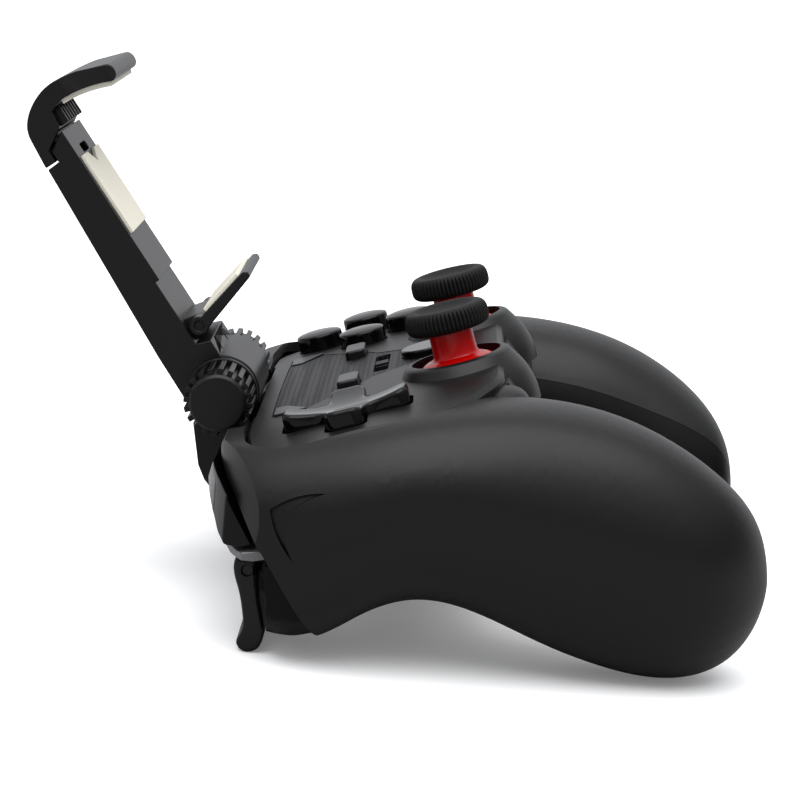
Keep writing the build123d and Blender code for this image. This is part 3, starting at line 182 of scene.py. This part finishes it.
# Shells: grips and top shell moulded in ABS and sprayed with soft-touch paint
# The paint is near black, dulls reflections to broad soft bands and has a fine orange peel.
def material(name, dark, pale, low, high, grain_mm, peel_mm=0.0, stretch=(1, 1, 1), **values):
    """A Principled finish mottled between two colours and two roughnesses, with a bump to match."""
    made = bpy.data.materials.new(name)
    made.use_nodes = True
    tree = made.node_tree
    shader = tree.nodes["Principled BSDF"]
    for key, value in values.items():
        shader.inputs[key.replace("_", " ")].default_value = value
    place = add_node(tree, "ShaderNodeTexCoord").outputs["Object"]
    laid = add_node(tree, "ShaderNodeMapping", {"Scale": stretch}, {"Vector": place})
    grain = add_node(
        tree,
        "ShaderNodeTexNoise",
        {"Scale": 1000.0 / grain_mm, "Detail": 2.0},
        {"Vector": laid.outputs[0]},
    ).outputs[0]
    tone = add_node(
        tree,
        "ShaderNodeMix",
        {"data_type": "RGBA", 6: linear(dark), 7: linear(pale)},
        {0: grain},
    )
    dull = add_node(
        tree, "ShaderNodeMapRange", {"To Min": low, "To Max": high}, {"Value": grain}
    )
    tree.links.new(tone.outputs[2], shader.inputs["Base Color"])
    tree.links.new(dull.outputs[0], shader.inputs["Roughness"])
    if peel_mm:
        relief = add_node(
            tree,
            "ShaderNodeBump",
            {"Strength": 1.0, "Distance": peel_mm / 1000},
            {"Height": grain},
        )
        tree.links.new(relief.outputs[0], shader.inputs["Normal"])
    return made


soft_touch = material(
    "soft_touch_paint_on_abs", "#060606", "#090909", 0.36, 0.44, 0.35, 0.003, Specular_IOR_Level=0.3
)


def show(bm, name, body, made, replaced=(), smooth=35.0):
    """Smooth a piece that stands in its place, up to an angle, and fix it to its body."""
    for face in bm.faces:
        face.smooth = True
    for edge in bm.edges:
        edge.smooth = edge.calc_face_angle(pi) < radians(smooth)
    mesh = bpy.data.meshes.new(name)
    bm.to_mesh(mesh)
    bm.free()
    mesh.materials.append(made)
    piece = bpy.data.objects.new(name, mesh)
    scene.collection.objects.link(piece)
    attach(piece, body)
    if replaced:
        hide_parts(*replaced)
    return piece


FLAT_TURN = radians(0.6)
SHARP_TURN = radians(32)


def skin(node, made, smooth=35.0, edge_mm=0.0):
    """Stand in for a solid with a smoothly shaded copy of its mesh, its sharp edges eased."""
    bm = bmesh.new()
    bm.from_mesh(frame["nodes"][node].data)
    bmesh.ops.remove_doubles(bm, verts=bm.verts, dist=2e-6)
    if edge_mm:
        bmesh.ops.dissolve_limit(bm, angle_limit=FLAT_TURN, verts=bm.verts, edges=bm.edges)
        sharp = [edge for edge in bm.edges if edge.calc_face_angle_signed(0.0) > SHARP_TURN]
        bmesh.ops.bevel(
            bm,
            geom=sharp,
            offset=edge_mm / 1000,
            offset_type="OFFSET",
            affect="EDGES",
            segments=3,
            profile=0.5,
            material=-1,
            clamp_overlap=False,
        )
    piece = show(bm, node + "_skin", body_of[node], made, (node,), smooth)
    weighted = piece.modifiers.new("even_shading", "WEIGHTED_NORMAL")
    weighted.keep_sharp = True
    weighted.weight = 50
    return piece


for shell in ("left_grip", "right_grip", "top_shell"):
    skin(shell, soft_touch)

# Bottom shell: the same ABS without paint
# Its band along the inside of the handles is a little glossier than the painted grips.
moulded = material(
    "moulded_black_abs", "#040404", "#070707", 0.3, 0.38, 0.3, 0.002, Specular_IOR_Level=0.14
)
skin("bottom_shell", moulded)


# Thumbsticks: gloss red stem with its dome in one piece, under a moulded rubber cap
# The cap is pressed on. Its bulged rim has sixty fine ribs and its top is dished for the thumb.
MM = 0.001
DECK_TILT = radians(-19)
DECK = Matrix.Translation((0.0, -0.01495, 0.0567)) @ Matrix.Rotation(DECK_TILT, 4, "X")
PIVOT_DEPTH = 6.5
STICK_X = 25.6


def on_deck(x, v, height=0.0):
    """A place on the control deck, in millimetres, standing square to it."""
    return DECK @ Matrix.Translation((x * MM, v * MM, height * MM))


def eased(outline, times=3):
    """An outline with its corners cut again and again until it is a curve."""
    for _ in range(times):
        cut = [outline[0]]
        for here, there in zip(outline, outline[1:]):
            for share in (0.25, 0.75):
                cut.append(tuple(a + share * (b - a) for a, b in zip(here, there)))
        outline = cut + [outline[-1]]
    return outline


def turned(outline, steps, place):
    """A solid turned about its own Z axis from an outline of radii and heights in millimetres."""
    bm = bmesh.new()
    points = [bm.verts.new((radius * MM, 0.0, height * MM)) for radius, height in outline]
    lines = [bm.edges.new(pair) for pair in zip(points, points[1:])]
    bmesh.ops.spin(bm, geom=points + lines, axis=(0, 0, 1), angle=2 * pi, steps=steps, use_merge=True)
    bmesh.ops.remove_doubles(bm, verts=bm.verts, dist=1e-6)
    bmesh.ops.recalc_face_normals(bm, faces=bm.faces)
    bmesh.ops.transform(bm, matrix=place, verts=bm.verts)
    return bm


red = material("gloss_red_abs", "#ac0000", "#bc0201", 0.14, 0.22, 5.0, Specular_IOR_Level=0.25)
rubber = material(
    "moulded_cap_rubber", "#0b0b0b", "#111112", 0.55, 0.7, 0.25, 0.006, Specular_IOR_Level=0.2
)
STEM_INSIDE = ((0.0, 7.6), (7.0, 7.0), (9.3, 5.6), (10.2, 4.0), (10.8, 4.0))
STEM_OUTSIDE = (
    (10.8, 4.0),
    (10.4, 5.0),
    (9.6, 6.3),
    (8.2, 7.7),
    (6.6, 8.6),
    (5.0, 9.0),
    (4.7, 10.4),
    (4.7, 15.8),
)
CAP_OUTLINE = (
    (0.0, 14.9),
    (6.6, 14.85),
    (8.1, 15.0),
    (8.95, 15.9),
    (9.0, 17.3),
    (8.9, 18.7),
    (8.2, 19.7),
    (7.2, 20.0),
    (6.4, 19.8),
    (5.0, 19.1),
    (3.0, 18.8),
    (0.0, 18.7),
)
CAP_RIBS = 60
RIB_DEPTH = 0.5
for side, x in (("left", -STICK_X), ("right", STICK_X)):
    pivot = on_deck(x, 0.0, -PIVOT_DEPTH)
    stem = turned(list(STEM_INSIDE) + eased(STEM_OUTSIDE) + [(0.0, 15.8)], 96, pivot)
    node = side + "_stick_stem"
    show(stem, side + "_stem_and_dome", body_of[node], red, (node,))
    cap = turned(eased(CAP_OUTLINE, 2), CAP_RIBS * 8, Matrix())
    for vert in cap.verts:
        out = Vector((vert.co.x, vert.co.y))
        low = min(1.0, max(0.0, (out.length / MM - 7.4) / 0.9))
        high = min(1.0, max(0.0, (19.7 - vert.co.z / MM) / 0.8))
        groove = 1.0 - abs(sin(CAP_RIBS / 2 * atan2(vert.co.y, vert.co.x))) ** 0.6
        shrink = 1.0 - RIB_DEPTH * MM * groove * low * high / max(out.length, MM)
        vert.co.x *= shrink
        vert.co.y *= shrink
    bmesh.ops.transform(cap, matrix=pivot, verts=cap.verts)
    node = side + "_stick_cap"
    show(cap, side + "_ribbed_cap", body_of[node], rubber, (node,))

# Shoulders behind the sticks: low rounded saddles of the painted shell, between well and handle
# They fill the notch there, and start outside the reach of the stick's dome at every tilt.
SADDLE_RADII = (7.5, 6.0, 4.4)
SADDLE_X = 45.2
SADDLE_V = -7.6
SADDLE_DEPTH = -6.9
for side, x in (("left", -1), ("right", 1)):
    saddle = bmesh.new()
    bmesh.ops.create_uvsphere(saddle, u_segments=64, v_segments=32, radius=MM)
    bmesh.ops.scale(saddle, vec=SADDLE_RADII, verts=saddle.verts)
    place = on_deck(x * SADDLE_X, SADDLE_V, SADDLE_DEPTH)
    bmesh.ops.transform(saddle, matrix=place, verts=saddle.verts)
    show(saddle, side + "_saddle", body_of["top_shell"], soft_touch)

# Direction pad: one gloss black cross, moulded in ABS, dished to the middle, with rounded arms
# It rocks on a ball under the deck, and its foot stays hidden in the opening.
gloss_black = material(
    "polished_black_abs", "#050505", "#080808", 0.05, 0.11, 6.0, Specular_IOR_Level=0.22
)
PAD_X = 48.7
PAD_V = 23.4
PAD_REACH = 13.3
PAD_ARM = 3.9
PAD_HEIGHT = 3.2
PAD_FOOT = -1.4
PAD_DISH_R = 46.0
PAD_RIM_R = 1.2
PAD_SLICE = 1.25
INNER_CORNER_R = 2.4
TIP_CORNER_R = 2.2
pad = bmesh.new()
bmesh.ops.create_grid(pad, x_segments=1, y_segments=1, size=PAD_REACH * MM)
for axis in (Vector((1, 0, 0)), Vector((0, 1, 0))):
    for cut in (-PAD_ARM, PAD_ARM):
        bmesh.ops.bisect_plane(
            pad, geom=pad.verts[:] + pad.edges[:] + pad.faces[:], plane_co=axis * cut * MM, plane_no=axis
        )
corners = [
    face for face in pad.faces if min(abs(c) for c in face.calc_center_median().xy) > PAD_ARM * MM
]
bmesh.ops.delete(pad, geom=corners, context="FACES")
bmesh.ops.translate(pad, vec=(0, 0, PAD_FOOT * MM), verts=pad.verts)
grown = bmesh.ops.extrude_face_region(pad, geom=pad.faces[:])["geom"]
lifted = [item for item in grown if isinstance(item, bmesh.types.BMVert)]
bmesh.ops.translate(pad, vec=(0, 0, (PAD_HEIGHT - PAD_FOOT) * MM), verts=lifted)
bmesh.ops.dissolve_limit(pad, angle_limit=radians(1), verts=pad.verts, edges=pad.edges)
bmesh.ops.recalc_face_normals(pad, faces=pad.faces)
for inner, radius in ((True, INNER_CORNER_R), (False, TIP_CORNER_R)):
    upright = [
        edge
        for edge in pad.edges
        if abs(edge.verts[0].co.z - edge.verts[1].co.z) > MM
        and abs(edge.calc_face_angle(0.0)) > radians(60)
        and (max(abs(c) for c in edge.verts[0].co.xy) < (PAD_ARM + 0.1) * MM) == inner
    ]
    bmesh.ops.bevel(
        pad, geom=upright, offset=radius * MM, affect="EDGES", segments=6, profile=0.5, material=-1
    )
rim = [
    edge
    for edge in pad.edges
    if min(vert.co.z for vert in edge.verts) > (PAD_HEIGHT - 0.01) * MM
    and edge.calc_face_angle(0.0) > radians(60)
]
bmesh.ops.bevel(
    pad, geom=rim, offset=PAD_RIM_R * MM, affect="EDGES", segments=5, profile=0.5, material=-1
)
for axis in (Vector((1, 0, 0)), Vector((0, 1, 0))):
    for step in range(-10, 11):
        bmesh.ops.bisect_plane(
            pad,
            geom=pad.verts[:] + pad.edges[:] + pad.faces[:],
            plane_co=axis * step * PAD_SLICE * MM,
            plane_no=axis,
        )
for vert in pad.verts:
    lift = max(0.0, vert.co.z / (PAD_HEIGHT * MM))
    vert.co.z -= lift * ((PAD_REACH * MM) ** 2 - vert.co.xy.length_squared) / (2 * PAD_DISH_R * MM)
bmesh.ops.transform(pad, matrix=on_deck(-PAD_X, PAD_V), verts=pad.verts)
show(pad, "gloss_cross", body_of["dpad"], gloss_black, ("dpad",), 40.0)

# Face buttons: turned gloss black domes, moulded in ABS
# Each has a flange under the plate that keeps it in, and a leg down to the rubber.
BUTTON_R = 5.4
BUTTON_PITCH_R = 10.8
BUTTON_FLANGE_R = 6.2
BUTTON_LEG_R = 2.6
BUTTON_SPOTS = {"north": (0, 1), "east": (1, 0), "south": (0, -1), "west": (-1, 0)}
for name, (across, along) in BUTTON_SPOTS.items():
    node = "button_" + name
    place = on_deck(PAD_X + across * BUTTON_PITCH_R, PAD_V + along * BUTTON_PITCH_R)
    flat = place.inverted()
    foot = min((flat @ vert.co).z for vert in frame["nodes"][node].data.vertices) / MM
    dome = eased(
        ((BUTTON_R, 0.0), (BUTTON_R, 2.6), (BUTTON_R - 0.1, 3.2), (4.6, 3.5), (2.6, 3.85), (0.0, 3.9))
    )
    skirt = [
        (0.0, foot),
        (BUTTON_LEG_R, foot),
        (BUTTON_LEG_R, -4.1),
        (BUTTON_FLANGE_R, -4.1),
        (BUTTON_FLANGE_R, -3.1),
        (BUTTON_R, -3.1),
    ]
    button = turned(skirt + dome, 96, place)
    show(button, node + "_dome", body_of[node], gloss_black, (node,), 40.0)

# Finishes: every other solid keeps its shape, and gets the surface of what it is made from
# Keys and clamp are satin ABS, the bezels painted, the pads and membranes rubber, the pins steel.
weave = material(
    "woven_film_on_abs", "#08080a", "#1c1c1f", 0.42, 0.6, 0.7, 0.03, Specular_IOR_Level=0.15
)
THREAD_MM = 1.1
cloth = weave.node_tree
threads = add_node(
    cloth,
    "ShaderNodeTexChecker",
    {"Scale": 1000.0 / THREAD_MM, "Color1": (1, 1, 1, 1), "Color2": (0, 0, 0, 1)},
    {
        "Vector": add_node(
            cloth,
            "ShaderNodeMapping",
            {"Rotation": (DECK_TILT, 0.0, radians(45))},
            {"Vector": add_node(cloth, "ShaderNodeTexCoord").outputs["Object"]},
        ).outputs[0]
    },
)
for user in [link.to_socket for link in cloth.links if link.from_node.type == "TEX_NOISE"]:
    cloth.links.new(threads.outputs["Fac"], user)
key_black = material(
    "satin_black_abs_keys", "#0d0d0e", "#121213", 0.26, 0.36, 0.4, 0.002, Specular_IOR_Level=0.3
)
clamp_black = material(
    "fine_sparked_black_abs", "#0b0b0c", "#101011", 0.3, 0.4, 0.3, 0.003, Specular_IOR_Level=0.26
)
bezel_grey = material("satin_grey_paint", "#6f6f71", "#7a7a7c", 0.28, 0.38, 0.3, 0.002, Metallic=0.4)
cream = material("cream_rubber_pad", "#e4e0cf", "#ece8d9", 0.62, 0.75, 0.5, 0.006)
steel = material("turned_steel", "#b0b0b2", "#c2c2c4", 0.25, 0.38, 0.3, 0.002, Metallic=1.0)
inner = material("plain_inner_abs", "#1d1d1e", "#262627", 0.45, 0.58, 0.4, 0.002)
silicone = material("grey_silicone", "#56585a", "#626466", 0.55, 0.65, 0.8, 0.005)
board = material("green_solder_mask", "#1a522c", "#246438", 0.25, 0.4, 1.5, 0.01)
cell = material("battery_foil", "#a0a2a4", "#b4b6b8", 0.28, 0.45, 4.0, 0.02, Metallic=0.6)
FINISHES = {
    "shell_black": soft_touch,
    "panel_weave": weave,
    "gloss_black": gloss_black,
    "key_black": key_black,
    "bezel_grey": bezel_grey,
    "clamp_black": clamp_black,
    "pad_cream": cream,
    "cap_rubber": rubber,
    "stem_red": red,
    "steel": steel,
    "inner_plastic": inner,
    "membrane_rubber": silicone,
    "board_green": board,
    "battery_silver": cell,
}
pin_steel = material("blackened_steel", "#1c1c1d", "#242425", 0.3, 0.42, 0.3, 0.002, Metallic=0.8)
DARK_PINS = ("jaw_pin", "holder_axle")
for name, solid in frame["nodes"].items():
    solid.data.materials.clear()
    solid.data.materials.append(pin_steel if name in DARK_PINS else FINISHES[slot_of[name]])
    if name.endswith("_trigger_shaft"):
        solid.data.materials[0] = key_black

EASED = {
    "holder_arm": 0.3,
    "upper_jaw": 0.3,
    "lower_jaw": 0.3,
    "holder_bracket": 0.3,
    "left_holder_knob": 0.12,
    "right_holder_knob": 0.12,
    "left_bumper": 0.5,
    "right_bumper": 0.5,
    "left_shoulder_bezel": 0.3,
    "right_shoulder_bezel": 0.3,
    "left_trigger": 0.4,
    "right_trigger": 0.4,
    "arm_pad": 0.15,
    "upper_jaw_pad": 0.15,
    "lower_jaw_pad": 0.15,
    "select_button": 0.0,
    "start_button": 0.0,
    "home_button": 0.0,
    "turbo_button": 0.0,
    "clear_button": 0.0,
    "mode_switch_knob": 0.1,
    "centre_panel": 0.0,
}
for name, edge in EASED.items():
    skin(name, FINISHES[slot_of[name]], 35.0, edge)

# Upper jaw: ribs on the tongue, seen between the hook and the top of the arm
# They are moulded on the sliding jaw, which is pulled out of the arm for a wider phone.
ARM = (
    Matrix.Translation((0.0, 0.03555, 0.0443))
    @ Matrix.Rotation(radians(52.2), 4, "X")
)
RIBS = 7
RIB_PITCH = 3.5
RIB_SIZE = (1.5, 4.0, 2.4)
RIB_UP_ARM = 69.0
RIB_LIFT = 2.6
RIB_EDGE_R = 0.35
for number in range(RIBS):
    across = (number - (RIBS - 1) / 2) * RIB_PITCH
    rib = bmesh.new()
    bmesh.ops.create_cube(rib, size=MM)
    bmesh.ops.scale(rib, vec=RIB_SIZE, verts=rib.verts)
    bmesh.ops.bevel(
        rib,
        geom=rib.edges[:],
        offset=RIB_EDGE_R * MM,
        affect="EDGES",
        segments=3,
        profile=0.5,
        material=-1,
    )
    spot = Matrix.Translation((across * MM, RIB_UP_ARM * MM, RIB_LIFT * MM))
    bmesh.ops.transform(rib, matrix=ARM @ spot, verts=rib.verts)
    show(rib, "tongue_rib_%d" % (number + 1), body_of["upper_jaw"], clamp_black)

# Mode switch: two white marks beside the knob, printed on the slider's own plate
# They lie under the deck's slot and travel with the slider.
MARK_SIZE = (4.4, 2.2, 0.1)
MARK_X = 6.2
MARK_V = 17.6
MARK_DEPTH = -3.0
white = material("white_pad_print", "#d8d8d6", "#e2e2e0", 0.5, 0.6, 1.0)
for end in (-1, 1):
    mark = bmesh.new()
    bmesh.ops.create_cube(mark, size=MM)
    bmesh.ops.scale(mark, vec=MARK_SIZE, verts=mark.verts)
    bmesh.ops.transform(mark, matrix=on_deck(end * MARK_X, MARK_V, MARK_DEPTH), verts=mark.verts)
    name = "mode_mark_" + ("left" if end < 0 else "right")
    show(mark, name, body_of["mode_switch_knob"], white)
